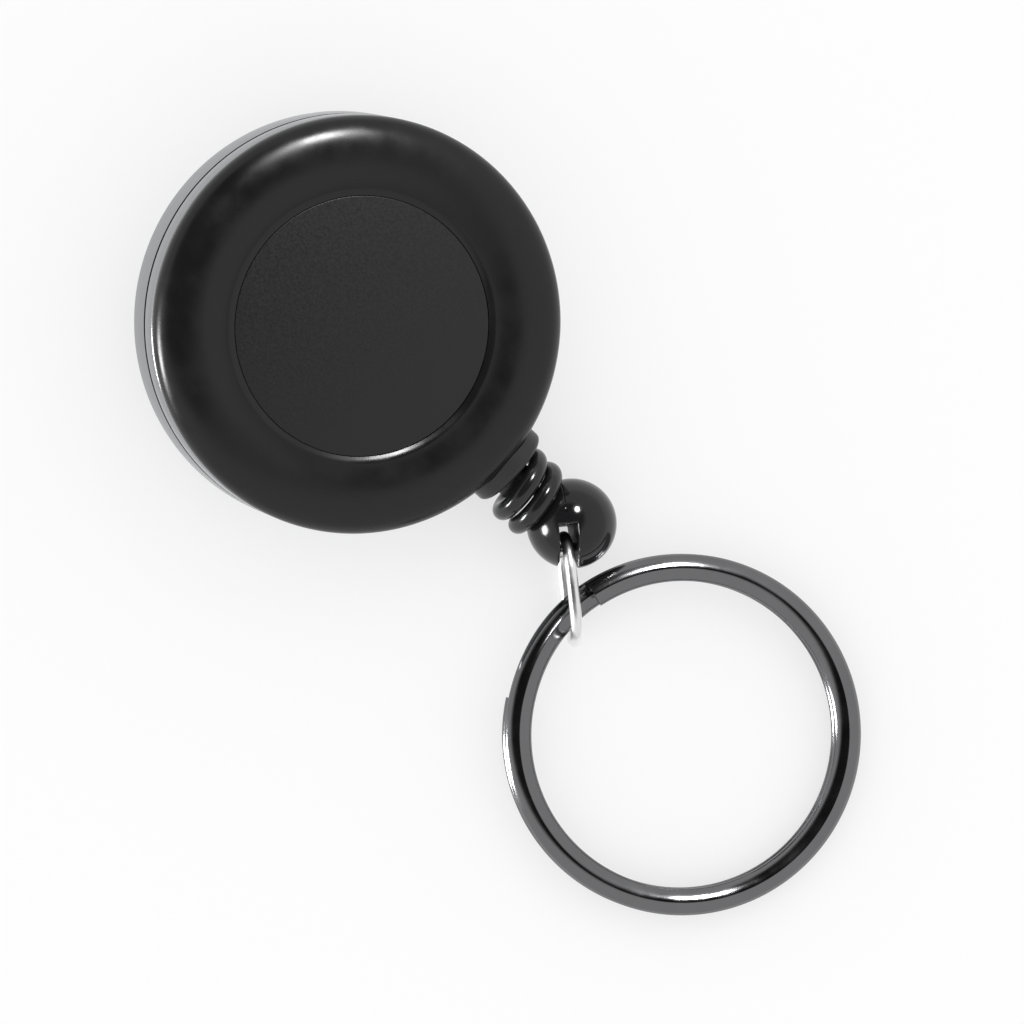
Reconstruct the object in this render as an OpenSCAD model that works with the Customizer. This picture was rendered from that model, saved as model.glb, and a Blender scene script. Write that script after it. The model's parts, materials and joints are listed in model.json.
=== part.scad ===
// Retractable badge reel: a round two-piece case with a spring-wound spool inside,
// a nylon cord that leaves through a collar and a bend spring, a slotted ball end,
// an oval link and a split key ring. Millimetres.
// The reel is drawn upright about its own axis, with the cord leaving along +X and the
// front facing +Z. It is then laid down on its rim and on the bend of its belt clip.

/* [Case] */
// Outer diameter of the case
case_d = 32; // [30:0.5:36]
// Wall of the two pressed case halves
case_wall = 0.6; // [0.5:0.05:0.7]
// Rounding of the rear edge
edge_r = 1; // [0.8:0.1:1.2]
// Floor thickness of the rear case
floor_t = 0.7; // [0.6:0.05:0.8]
// Height of the rear case
rear_h = 4.4; // [4:0.1:4.7]
// Open seam between the two case halves
seam_h = 0.35; // [0.2:0.05:0.5]
// Height of the front bezel band above the seam
bezel_h = 2.35; // [2.2:0.05:2.6]
// How far the spigot of the bezel reaches into the rear case
spigot_h = 1.1; // [0.9:0.1:1.3]

/* [Front cover] */
// Height of the domed front above the bezel
dome_h = 2.1; // [2:0.1:2.6]
// Distance of the highest circle of the dome from the edge of the case
crest_in = 3.3; // [2.6:0.1:3.8]
// Radius of the round label recess
recess_r = 10; // [9:0.5:10.5]
// Depth of the label recess below the inner edge of the dome
recess_depth = 0.5; // [0.4:0.05:0.6]
// Thickness of the blank label disc
label_t = 0.3; // [0.2:0.05:0.35]

/* [Spool and spring] */
// Play between the spool flanges and the inside of the case
flange_play = 0.55; // [0.4:0.05:1]
// Thickness of the spool flanges
flange_t = 0.4; // [0.3:0.05:0.5]
// Outer radius of the drum that carries the cord
drum_r = 9.4; // [9:0.1:9.8]
// Wall of the drum
drum_wall = 1; // [0.8:0.1:1.2]
// Width of the cord groove between the flanges
groove_w = 2.8; // [2.6:0.1:2.9]
// Radius of the fixed arbor
arbor_r = 2.2; // [2:0.1:2.4]
// Radius of the centre rivet
rivet_r = 1.2; // [1:0.1:1.3]
// Width of the mainspring strip
mainspring_w = 3.6; // [3:0.1:4]
// Thickness of the mainspring strip
mainspring_t = 0.2; // [0.15:0.05:0.25]
// Turns of the mainspring
mainspring_turns = 8; // [6:1:8]

/* [Cord and exit] */
// Diameter of the nylon cord
cord_d = 0.8; // [0.7:0.05:0.8]
// Depth left free between the wound inner layers and the rim of the flanges
wound_in = 2.3; // [2.2:0.1:3.3]
// Loops in the outer layer of cord
wound_loops = 1.5; // [1:0.25:1.5]
// Radius of the collar at the cord exit
collar_r = 3.3; // [3.2:0.05:3.5]
// How far the collar stands out of the case
collar_t = 1.15; // [1:0.05:1.3]
// Radius of the collar's barrel in the case wall
barrel_r = 1.3; // [1.2:0.05:1.35]
// Wire diameter of the bend spring
bend_wire = 1.15; // [1:0.05:1.2]
// Mean radius of the bend spring
bend_r = 2.5; // [2.4:0.05:2.6]
// Axial pitch of the bend spring
bend_pitch = 1.8; // [1.6:0.05:1.85]
// Turns of the bend spring
bend_turns = 1.5; // [1.25:0.25:1.5]
// How far the bend spring sits to one side of the cord
bend_shift = 0.5; // [0:0.1:0.6]

/* [Ball end] */
// Diameter of the ball
ball_d = 7; // [6.8:0.1:7.1]
// Distance of the ball centre from the case
ball_out = 7.6; // [7.4:0.1:8]
// Heading of the slot and the link, seen from above
link_heading = -43; // [-48:1:-35]
// Width of the slot in the ball
slot_w = 1.4; // [1.3:0.05:1.5]
// Offset of the slot from the middle of the ball
slot_offset = 0.65; // [0.6:0.05:0.7]
// Radius of the crimped stop on the cord
stop_r = 0.65; // [0.6:0.05:0.7]
// Distance of the stop from the ball centre
stop_back = 2.3; // [2.25:0.05:2.35]
// Radius of the cross pin in the slot
pin_r = 0.55; // [0.5:0.05:0.6]

/* [Link and key ring] */
// Outer length of the oval link
link_len = 9; // [8.8:0.1:9.3]
// Outer height of the oval link
link_h = 6; // [5.8:0.1:6.1]
// Wire diameter of the link
link_wire = 0.9; // [0.8:0.05:0.95]
// Outer diameter of the split key ring
ring_d = 28; // [26:0.5:32]
// Radial width of the key ring wire
strand_w = 2.1; // [1.9:0.05:2.2]
// Height of one strand of the key ring wire
strand_h = 1.3; // [1:0.05:1.35]
// Angle over which the wire crosses from one strand to the other
joggle_span = 45; // [40:1:50]
// Heading of the key ring centre, seen from the link
ring_heading = -7; // [-20:1:0]

/* [Belt clip] */
// Width of the clip strip
clip_w = 10; // [8:0.5:11]
// Thickness of the clip strip
clip_t = 0.8; // [0.7:0.05:0.9]
// Outer radius of the bend, which sets how far the clip stands off
clip_bend_r = 2.7; // [2.5:0.1:3]
// Distance of the bend from the edge of the case
clip_in = 5.5; // [4:0.1:6]
// Length of the clip arm in front of the reel axis
clip_front = 6; // [5:0.1:7]

/* [Hidden] */
$fn = 96;

gap = 0.05;                 // clearance of pieces that are pressed or stacked together
run = 0.06;                 // radial running clearance
past = 1;                   // how far a cut runs past the face it opens

case_r = case_d / 2;
crest_r = case_r - crest_in;
seam_z = rear_h + seam_h;
bezel_top = seam_z + bezel_h;
cover_z = bezel_top + gap / 2;
crest_z = bezel_top + dome_h;
lip_z = crest_z - 0.15;
recess_z = lip_z - recess_depth;
ceiling_z = recess_z - 0.85;
spigot_r = case_r - case_wall - gap;
spigot_t = 0.5;
spigot_z = rear_h - spigot_h;
skirt_h = 0.7;

washer_t = 0.2;
washer_r = 3.2;
slip_washer_r = 6;
arbor_foot_r = 3.4;
arbor_foot_t = 0.3;
slip_z = floor_t + arbor_foot_t + gap;
spool_z = slip_z + washer_t + gap;
spool_floor = 0.5;
hub_r = arbor_r + run;
flange_r = spigot_r - spigot_t - flange_play;
cap_z = ceiling_z - 0.35 - flange_t;
groove_z = cap_z - groove_w;
exit_z = groove_z + groove_w / 2;
arbor_top = cap_z + flange_t + gap;
arbor_slot = 2 * mainspring_t;
cap_skirt = 0.6;
rivet_head_r = 1.9;
rivet_head_t = 0.3;
head_pocket_r = washer_r + 0.4;
head_pocket_z = arbor_top + washer_t + rivet_head_t + 3 * gap;

well_r = drum_r - drum_wall;
mainspring_z = spool_z + spool_floor + 0.3;
mainspring_in = arbor_r + 0.35;
mainspring_out = well_r - 0.25;

cord_r = cord_d / 2;
wound_r = flange_r - wound_in;
cord_gap = 0.42;            // bare core left between two loops of the outer layer
layer_r = (wound_r + cord_r + 0.02) / cos(7.5);   // the straight runs of the loops clear the inner layers
layer_pitch = cord_d + cord_gap;
barrel_x = spigot_r - spigot_t - gap;
join_x = case_r - 0.4;      // where the running cord meets the fixed run
mouth_r = barrel_r - 0.3;
bore_r = cord_r + 0.2;
collar_face = case_r + collar_t;
run_heading = 65;
run_start_r = layer_r + cord_d + 0.1;

leg = bend_wire;            // straight end of the bend spring
bend_x = collar_face + bend_wire / 2 + 0.05;

ball_r = ball_d / 2;
ball_x = case_r + ball_out;
slot_front = 0.1;           // the slot starts this far in front of the ball centre
pocket_r = stop_r + 0.07;
throat_r = cord_r + 0.4;
throat_mouth = throat_r + 0.9;
link_back = slot_front + 0.4;   // rear end of the link, with room to swing
link_r = link_h / 2;
link_mid = link_back + link_len / 2;
pin_x = link_back + link_wire + pin_r + 0.08;
pin_half = 1.5;

ring_r = ring_d / 2;
ring_mid_r = ring_r - strand_w / 2;
strand_pitch = strand_h + 0.04;
strand_ridge = 1.2;         // 1 is an ellipse, and more makes the ridge sharper
thread_lift = link_wire + 0.6;
thread_in = 2;              // from the far end inside the link to the middle of the key ring wire
thread_x = link_back + link_len - link_wire - thread_in;
cut_angle = 9;              // from the link to the cut end of the top strand

clip_back = case_r - clip_in;
clip_pad = 5;               // length of the riveted pad in front of the axis
clip_head_t = 0.5;
clip_washer_r = 3;
clip_hole_r = 3.2;

// The reel leans on the rounded rim and on the bend of the clip.
lean_arm = case_r - edge_r + clip_back;
lean_span = norm([lean_arm, edge_r + clip_bend_r]);
lean = atan((edge_r + clip_bend_r) / lean_arm) + asin((clip_bend_r - edge_r) / lean_span);

function laid(p) = [
    (p.x - case_r + edge_r) * cos(lean) + (p.z - edge_r) * sin(lean),
    p.y,
    -(p.x - case_r + edge_r) * sin(lean) + (p.z - edge_r) * cos(lean) + edge_r
];
ball_at = laid([ball_x, 0, exit_z]);
link_dir = [cos(link_heading), sin(link_heading)];
link_side = [sin(link_heading), -cos(link_heading)];
thread_xy = [ball_at.x, ball_at.y] + thread_x * link_dir + slot_offset * link_side;
ring_dir = [cos(ring_heading), sin(ring_heading)];
ring_reach = ring_r + ring_mid_r;
ring_tilt = asin(thread_lift / ring_reach);
ring_far = thread_xy + ring_reach * cos(ring_tilt) * ring_dir;
ring_centre = ring_far - ring_r * cos(ring_tilt) * ring_dir;

// The origin lies on the table, under the middle of the whole outline.
x_low = laid([-case_r, 0, edge_r]).x;
x_high = ring_centre.x + ring_r;
y_low = ring_centre.y - ring_r;
y_high = case_r;
origin = [(x_low + x_high) / 2, (y_low + y_high) / 2, 0];

module on_table() {
    translate(-origin) children();
}

module in_reel() {
    on_table()
        translate([0, 0, edge_r])
            rotate([0, lean, 0])
                translate([edge_r - case_r, 0, -edge_r])
                    children();
}

module on_exit() {
    in_reel() translate([0, 0, exit_z]) rotate([0, 90, 0]) children();
}

module at_ball() {
    on_table() translate(ball_at) rotate([0, 0, link_heading]) children();
}

module at_link() {
    at_ball() translate([link_mid, -slot_offset, link_r + 0.02 - ball_at.z]) children();
}

module ring_of(inner, outer, z, h) {
    translate([0, 0, z])
        difference() {
            cylinder(r = outer, h = h);
            translate([0, 0, -past]) cylinder(r = inner, h = h + 2 * past);
        }
}

function arc(c, rx, rz, from, to, steps) =
    [for (i = [0:steps]) let (a = from + (to - from) * i / steps) c + [rx * cos(a), rz * sin(a)]];

// A tube is swept along its points, with each ring square to the path.
function unit(v) = v / norm(v);
function heading(p, i) = unit(p[min(i + 1, len(p) - 1)] - p[max(i - 1, 0)]);
function square_to(t, n) = unit(n - (n * t) * t);
function carried(p, n) = [
    for (i = 0, side = square_to(heading(p, 0), n);
         i < len(p);
         i = i + 1, side = i < len(p) ? square_to(heading(p, i), side) : side) side
];
function rings(p, outline, n) = let (side = carried(p, n)) [
    for (i = [0:len(p) - 1], q = outline)
        p[i] + q.x * side[i] + q.y * cross(heading(p, i), side[i])
];

module sweep(path, outline, start_side) {
    m = len(outline);
    last = (len(path) - 1) * m;
    walls = [
        for (i = [0:len(path) - 2], j = [0:m - 1])
            let (a = i * m + j, b = i * m + (j + 1) % m)
                each [[a, a + m, b], [b, a + m, b + m]]
    ];
    caps = [for (j = [1:m - 2]) each [[0, j, j + 1], [last, last + j + 1, last + j]]];
    polyhedron(rings(path, outline, start_side), concat(walls, caps), convexity = 8);
}

function round_outline(r, sides) = [for (i = [0:sides - 1]) r * [cos(360 * i / sides), sin(360 * i / sides)]];
function least_gap(p, d, skip) =
    min([for (i = [0:len(p) - 1], j = [i + skip:len(p) - 1]) if (j < len(p)) norm(p[i] - p[j])]) - d;

module front_cover() {
    outer = concat(
        [[spigot_r - spigot_t, cover_z - skirt_h], [spigot_r, cover_z - skirt_h], [spigot_r, cover_z],
         [case_r - 0.05, cover_z]],
        arc([crest_r, bezel_top + 0.3], case_r - crest_r, dome_h - 0.3, 0, 90, 14),
        arc([recess_r + 0.5, lip_z - 0.25], 0.5, 0.25, 70, 180, 5),
        [[recess_r, recess_z], [0, recess_z], [0, head_pocket_z], [head_pocket_r, head_pocket_z],
         [head_pocket_r, ceiling_z], [spigot_r - spigot_t, ceiling_z]]
    );
    color("#141416")
        in_reel() difference() {
            rotate_extrude() polygon(outer);
            exit_hole();
        }
}

module label_disc() {
    color("#35353a")
        in_reel() translate([0, 0, recess_z]) cylinder(r = recess_r - gap, h = label_t);
}

module front_bezel() {
    color("#d5d7da")
        in_reel() difference() {
            rotate_extrude()
                polygon(concat(
                    [[spigot_r - spigot_t, spigot_z], [spigot_r, spigot_z], [spigot_r, seam_z]],
                    arc([case_r - 0.15, seam_z + 0.15], 0.15, 0.15, -90, 0, 3),
                    [[case_r, bezel_top], [case_r - case_wall, bezel_top],
                     [case_r - case_wall, cover_z - skirt_h - gap],
                     [spigot_r - spigot_t, cover_z - skirt_h - gap]]
                ));
            exit_hole();
        }
}

module exit_hole() {
    translate([case_r - 3, 0, exit_z]) rotate([0, 90, 0]) cylinder(r = barrel_r + gap, h = 3 + past);
}

module rear_case() {
    color("#cfd1d4")
        in_reel() difference() {
            rotate_extrude()
                polygon(concat(
                    [[0, 0]],
                    arc([case_r - edge_r, edge_r], edge_r, edge_r, -90, 0, 8),
                    arc([case_r - 0.15, rear_h - 0.15], 0.15, 0.15, 0, 90, 3),
                    [[case_r - case_wall, rear_h]],
                    arc([case_r - edge_r, edge_r], edge_r - case_wall, edge_r - floor_t, 0, -90, 5),
                    [[0, floor_t]]
                ));
            exit_hole();
            translate([0, 0, -past]) cylinder(r = rivet_r + gap, h = floor_t + 2 * past);
        }
}

module arbor() {
    color("#b9a15c")
        in_reel() difference() {
            union() {
                translate([0, 0, floor_t]) cylinder(r = arbor_foot_r, h = arbor_foot_t);
                translate([0, 0, floor_t]) cylinder(r = arbor_r, h = arbor_top - floor_t);
            }
            translate([0, 0, 0]) cylinder(r = rivet_r + gap, h = arbor_top + past);
            translate([0, -(arbor_slot + mainspring_t) / 2, mainspring_z - 0.2])
                cube([arbor_r + past, arbor_slot, arbor_top]);
        }
}

module centre_rivet() {
    head_z = arbor_top + washer_t + gap;
    tail_z = -clip_t - washer_t - 2 * gap;
    color("#c4c6c9")
        in_reel() {
            rotate_extrude()
                polygon(concat(
                    [[0, head_z + rivet_head_t], [0, tail_z - clip_head_t]],
                    arc([0.9, tail_z], rivet_head_r - 0.9, clip_head_t, -90, 0, 6),
                    [[rivet_r, tail_z], [rivet_r, head_z]],
                    arc([1.2, head_z], rivet_head_r - 1.2, rivet_head_t, 0, 90, 5)
                ));
        }
}

module spool_washer() {
    color("#c9cbce") in_reel() ring_of(rivet_r + gap, washer_r, arbor_top + gap / 2, washer_t);
}

module slip_washer() {
    color("#e8e4d8") in_reel() ring_of(hub_r, slip_washer_r, slip_z, washer_t);
}

module spool() {
    color("#e6e3da")
        in_reel() {
            difference() {
                union() {
                    ring_of(hub_r, drum_r, spool_z, spool_floor);
                    ring_of(well_r, drum_r, spool_z, cap_z - spool_z);
                    ring_of(drum_r - gap, flange_r, groove_z - flange_t, flange_t);
                    for (i = [0:7])
                        rotate([0, 0, 45 * i + 22.5])
                            translate([drum_r - 0.2, -0.3, spool_z])
                                rotate([90, 0, 0])
                                    translate([0, 0, -0.6])
                                        linear_extrude(0.6)
                                            polygon([[0, 0.6], [0, groove_z - spool_z - 0.1],
                                                     [flange_r - drum_r, groove_z - spool_z - 0.1],
                                                     [flange_r - drum_r, groove_z - flange_t - spool_z],
                                                     [1, 0.6]]);
                }
                // slot that takes the hooked outer end of the mainspring
                rotate([0, 0, 360 * mainspring_turns])
                    translate([well_r - 0.3, -0.3, mainspring_z - 0.1])
                        cube([0.9, 0.7, mainspring_w + 0.2]);
            }
        }
}

module spool_cap() {
    color("#dedbd2")
        in_reel() {
            difference() {
                union() {
                    ring_of(hub_r, flange_r, cap_z, flange_t);
                    ring_of(well_r - gap - 0.5, well_r - gap, cap_z - cap_skirt, cap_skirt + flange_t / 2);
                }
                for (i = [0:5])
                    rotate([0, 0, 60 * i + 30])
                        translate([5.4, 0, cap_z - past]) cylinder(r = 1, h = flange_t + 2 * past);
            }
        }
}

// The strip starts with a tang in the slot of the arbor and ends in the wall of the drum.
module mainspring() {
    steps = 24 * mainspring_turns;
    grow = (mainspring_out - mainspring_in) / steps;
    function on_spiral(i, shift) = let (a = 15 * i, r = mainspring_in + grow * i + shift) [r * cos(a), r * sin(a)];
    inside = [for (i = [0:steps]) on_spiral(i, 0)];
    outside = [for (i = [steps:-1:0]) on_spiral(i, mainspring_t)];
    hook = [[mainspring_out, mainspring_t], [mainspring_out + 0.5, mainspring_t], [mainspring_out + 0.5, 0]];
    tang = [
        [mainspring_in + mainspring_t, -mainspring_t], [arbor_r - 0.7, -mainspring_t], [arbor_r - 0.7, 0]
    ];
    color("#8d9299")
        in_reel() translate([0, 0, mainspring_z])
            linear_extrude(mainspring_w)
                polygon(concat(inside, hook, outside, tang));
    echo(mainspring_gap = grow * 24 - mainspring_t);
}

module cord_inner_layers() {
    color("#1d1d1f") in_reel() ring_of(drum_r + gap, wound_r, groove_z + gap, groove_w - 2 * gap);
}

module cord_outer_layer() {
    loops = 24 * wound_loops;
    half = layer_pitch * wound_loops / 2;
    turns = [
        for (i = [0:loops]) let (a = 15 * i)
            [layer_r * cos(a), layer_r * sin(a), exit_z - half + 2 * half * i / loops]
    ];
    first = turns[0] + cord_d * unit(turns[0] - turns[1]);
    final = turns[loops] + cord_d * unit(turns[loops] - turns[loops - 1]);
    path = concat([first], turns, [final]);
    echo(cord_layer_gap = least_gap(path, cord_d, 8));
    color("#1d1d1f") in_reel() sweep(path, round_outline(cord_r, 6), [0, 0, 1]);
}

// The cord leaves the winding, crosses to the collar and turns into its bore.
module cord_run() {
    away = [cos(run_heading), sin(run_heading)];
    tip = [barrel_x + 0.1, 0];
    reach = sqrt(tip.x * tip.x - run_start_r * run_start_r);
    path = [
        for (p = [tip - reach * away, tip - 0.6 * reach * away, tip - 0.25 * reach * away,
                  tip - 0.1 * reach * away, tip + [0.25, 0], [join_x - cord_d, 0], [join_x, 0]])
            [p.x, p.y, exit_z]
    ];
    color("#1d1d1f") in_reel() sweep(path, round_outline(cord_r, 8), [0, 0, 1]);
}

module exit_collar() {
    color("#18181a")
        on_exit() difference() {
            rotate_extrude()
                polygon(concat(
                    [[bore_r, barrel_x], [barrel_r, barrel_x], [barrel_r, case_r - 0.5], [collar_r, case_r - 0.5]],
                    arc([collar_r - 0.45, collar_face - 0.45], 0.45, 0.45, 0, 90, 6),
                    [[bore_r + 0.5, collar_face], [bore_r, collar_face - 0.6]]
                ));
            // the back of the flange follows the round case
            rotate([0, -90, 0])
                difference() {
                    translate([0, 0, -2 * collar_r]) cylinder(r = case_r + gap, h = 4 * collar_r);
                    rotate([0, 90, 0]) cylinder(r = barrel_r, h = case_r + past);
                }
            // entry flare for the cord
            translate([0, 0, barrel_x - 0.01]) cylinder(r1 = mouth_r, r2 = bore_r, h = 0.5);
            // seat for the leg of the bend spring
            translate([0, bend_r - bend_shift, collar_face - leg])
                cylinder(r = bend_wire / 2 + gap, h = leg + past);
        }
}

module bend_spring() {
    steps = 24 * bend_turns;
    coils = [
        for (i = [0:steps]) let (a = 15 * i)
            [-bend_r * sin(a), bend_r * cos(a) - bend_shift, bend_x + bend_pitch * a / 360]
    ];
    first = coils[0] - [0, 0, leg + bend_wire / 2];
    knee = coils[0] - [0, 0, bend_wire / 2];
    final = coils[len(coils) - 1] + leg * unit(coils[len(coils) - 1] - coils[len(coils) - 2]);
    path = concat([first, knee], [for (i = [1:len(coils) - 1]) coils[i]], [final]);
    echo(bend_spring_gap = least_gap(path, bend_wire, 16));
    color("#1a1a1c") on_exit() sweep(path, round_outline(bend_wire / 2, 10), [0, 1, 0]);
}

module belt_clip() {
    inner_r = clip_bend_r - clip_t;
    low = clip_bend_r;
    tip_z = -clip_t - gap - 0.05;
    outline = concat(
        [[clip_pad, 0]],
        arc([-clip_back, -low], clip_bend_r, clip_bend_r, 90, 262, 20),
        [[clip_front - 2, tip_z - clip_t], [clip_front, tip_z - clip_t], [clip_front, tip_z],
         [clip_front - 2, tip_z]],
        arc([-clip_back, -low], inner_r, inner_r, 262, 90, 16),
        [[clip_pad, -clip_t]]
    );
    color("#c2c4c8")
        in_reel() difference() {
            rotate([90, 0, 0])
                translate([0, 0, -clip_w / 2])
                    linear_extrude(clip_w) polygon(outline);
            translate([0, 0, -clip_t - past]) cylinder(r = rivet_r + gap, h = clip_t + 2 * past);
            translate([0, 0, -3 * clip_bend_r]) cylinder(r = clip_hole_r, h = 3 * clip_bend_r - clip_t - gap);
        }
}

module clip_washer() {
    color("#c9cbce") in_reel() ring_of(rivet_r + gap, clip_washer_r, -clip_t - gap - washer_t, washer_t);
}

module cord_lead() {
    color("#1d1d1f")
        on_exit() translate([0, 0, join_x]) cylinder(r = cord_r, h = ball_x - stop_back - stop_r - join_x + 0.05);
}

module cord_stop() {
    color("#b9a15c")
        on_exit() translate([0, 0, ball_x - stop_back]) difference() {
            sphere(r = stop_r);
            translate([0, 0, -2 * stop_r]) cylinder(r = cord_r, h = stop_r + 0.1);
        }
}

module ball_body() {
    difference() {
        at_ball() sphere(r = ball_r);
        at_ball()
            translate([slot_front, -slot_offset - slot_w / 2, -ball_d])
                cube([ball_d, slot_w, 2 * ball_d]);
        at_ball()
            translate([pin_x, -slot_offset, 0])
                rotate([90, 0, 0]) cylinder(r = pin_r + 0.01, h = 2 * pin_half, center = true);
        on_exit() translate([0, 0, ball_x - stop_back]) sphere(r = pocket_r);
        on_exit()
            translate([0, 0, ball_x - ball_r - past])
                cylinder(r1 = throat_mouth + 0.6, r2 = throat_r * 0.8, h = ball_r - stop_back + past - 0.45);
    }
}

module ball_side(side) {
    at_ball()
        translate([-ball_d, side > 0 ? -slot_offset : -slot_offset - 2 * ball_d, -ball_d])
            cube([2 * ball_d, 2 * ball_d, 2 * ball_d]);
}

module ball_large_half() {
    color("#111113") intersection() {
        ball_body();
        ball_side(1);
    }
}

module ball_small_half() {
    color("#17171a") intersection() {
        ball_body();
        ball_side(-1);
    }
}

module link_pin() {
    color("#c4c6c9")
        at_ball()
            translate([pin_x, -slot_offset, 0])
                rotate([90, 0, 0]) cylinder(r = pin_r, h = 2 * pin_half - gap, center = true);
}

module link_ring() {
    bar = link_len - link_h;
    bow = link_r - link_wire / 2;
    color("#dfe1e4")
        at_link() rotate([90, 0, 0]) {
            for (side = [-1, 1]) {
                translate([side * bar / 2, 0, 0])
                    rotate([0, 0, -90 * side])
                        rotate_extrude(angle = 180)
                            translate([bow, 0]) circle(d = link_wire, $fn = 24);
                translate([-bar / 2, side * bow, 0])
                    rotate([0, 90, 0]) cylinder(d = link_wire, h = bar, $fn = 24);
            }
        }
}

// One wire makes two turns. It drops from the upper strand to the lower one at the joggle.
module key_ring() {
    top_cut = 180 - cut_angle;
    steps = 66;
    turn = 360 - joggle_span;
    function eased(t) = t * t * (3 - 2 * t);
    function on_ring(a, z) = [ring_mid_r * cos(a), ring_mid_r * sin(a), strand_h / 2 + z];
    path = concat(
        [for (i = [0:steps]) on_ring(top_cut - turn * i / steps, strand_pitch)],
        [for (i = [1:13]) on_ring(top_cut - turn - joggle_span * i / 14, strand_pitch * (1 - eased(i / 14)))],
        [for (i = [0:steps]) on_ring(top_cut - 360 - turn * i / steps, 0)]
    );
    // the strand is a rounded lozenge, with a soft ridge along its top
    function swell(v) = sign(v) * pow(abs(v), strand_ridge);
    wire = [for (i = [0:11]) [strand_h / 2 * swell(sin(30 * i)), strand_w / 2 * swell(cos(30 * i))]];
    color("#4a4c50")
        on_table()
            translate([ring_far.x, ring_far.y, 0])
                rotate([0, 0, ring_heading])
                    rotate([0, ring_tilt, 0])
                        translate([-ring_r, 0, 0])
                            sweep(path, wire, [0, 0, 1]);
}

front_cover();
label_disc();
front_bezel();
rear_case();
arbor();
centre_rivet();
spool_washer();
slip_washer();
spool();
spool_cap();
mainspring();
cord_inner_layers();
cord_outer_layer();
cord_run();
exit_collar();
bend_spring();
belt_clip();
clip_washer();
cord_lead();
cord_stop();
ball_large_half();
ball_small_half();
link_pin();
link_ring();
key_ring();
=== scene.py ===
import json
import math

import bmesh
import bpy
import numpy as np
from mathutils import Matrix, Vector

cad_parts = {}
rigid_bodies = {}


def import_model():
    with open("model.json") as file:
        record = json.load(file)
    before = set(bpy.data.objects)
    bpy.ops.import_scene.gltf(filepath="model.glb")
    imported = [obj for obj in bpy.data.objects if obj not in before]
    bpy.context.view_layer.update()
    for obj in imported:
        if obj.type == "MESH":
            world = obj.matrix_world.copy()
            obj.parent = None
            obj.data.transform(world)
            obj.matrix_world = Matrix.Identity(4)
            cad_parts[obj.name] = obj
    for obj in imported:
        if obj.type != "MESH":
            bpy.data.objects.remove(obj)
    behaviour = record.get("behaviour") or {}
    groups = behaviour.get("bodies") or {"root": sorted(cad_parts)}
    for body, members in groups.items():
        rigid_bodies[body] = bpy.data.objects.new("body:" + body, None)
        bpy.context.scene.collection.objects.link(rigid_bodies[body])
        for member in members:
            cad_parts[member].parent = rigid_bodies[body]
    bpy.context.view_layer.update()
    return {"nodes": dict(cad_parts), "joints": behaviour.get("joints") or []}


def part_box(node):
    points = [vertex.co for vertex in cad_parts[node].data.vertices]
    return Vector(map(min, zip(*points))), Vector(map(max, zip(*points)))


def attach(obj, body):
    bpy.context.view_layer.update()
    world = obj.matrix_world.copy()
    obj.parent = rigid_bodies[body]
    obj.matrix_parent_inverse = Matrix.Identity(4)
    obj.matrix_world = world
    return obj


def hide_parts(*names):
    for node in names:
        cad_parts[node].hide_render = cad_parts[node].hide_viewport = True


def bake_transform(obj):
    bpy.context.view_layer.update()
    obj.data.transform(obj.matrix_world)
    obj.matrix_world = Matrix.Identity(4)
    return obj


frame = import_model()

mm = 0.001
joints = {j["name"]: j for j in frame["joints"]}
fit = 0.05 * mm      # clearance between pressed or stacked pieces
past = 1 * mm        # how far a cutter runs past the face it opens


# places taken from the frame

def frameOf(origin, xAxis, zAxis):
    z = Vector(zAxis).normalized()
    x = Vector(xAxis)
    x = (x - x.dot(z) * z).normalized()
    turned = Matrix((x, z.cross(x), z)).transposed().to_4x4()
    turned.translation = origin
    return turned


reel = {
    "exitHeight": 5.55 * mm,     # height of the cord over the back of the case
    "exitHole": 1.35 * mm,
    "caseRadius": 16 * mm,
    "wall": 0.6 * mm,
    "seamRound": 0.07 * mm,      # rounding of both edges that meet at the seam
}
exitWay = Vector(joints["cord_pull"]["axis"]).normalized()
reelWay = Vector(joints["spool_spin"]["axis"]).normalized()
exitHub = Vector(joints["spool_spin"]["pos_m"])          # on the reel axis, level with the cord
reelBase = exitHub - reel["exitHeight"] * reelWay
inReel = frameOf(reelBase, exitWay, reelWay)
onExit = frameOf(exitHub, reelWay, exitWay)              # local Z runs out along the cord
stopAt = Vector([(a + b) / 2 for a, b in zip(*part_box("cord_stop"))])


# meshes


def newObject(name, mesh, material, body, *nodes):
    piece = bpy.data.objects.new(name, mesh)
    bpy.context.scene.collection.objects.link(piece)
    if len(mesh.materials) < 2:
        mesh.materials.clear()
        mesh.materials.append(material)
    if nodes:
        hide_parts(*nodes)
    if body:
        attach(piece, body)
    return piece


def smooth(mesh, angle=35):
    mesh.shade_smooth()
    mesh.set_sharp_from_angle(angle=math.radians(angle))
    return mesh


def arc(centre, rx, rz, start, end, steps):
    turns = [math.radians(start + (end - start) * i / steps) for i in range(steps + 1)]
    return [(centre[0] + rx * math.cos(t), centre[1] + rz * math.sin(t)) for t in turns]


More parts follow.
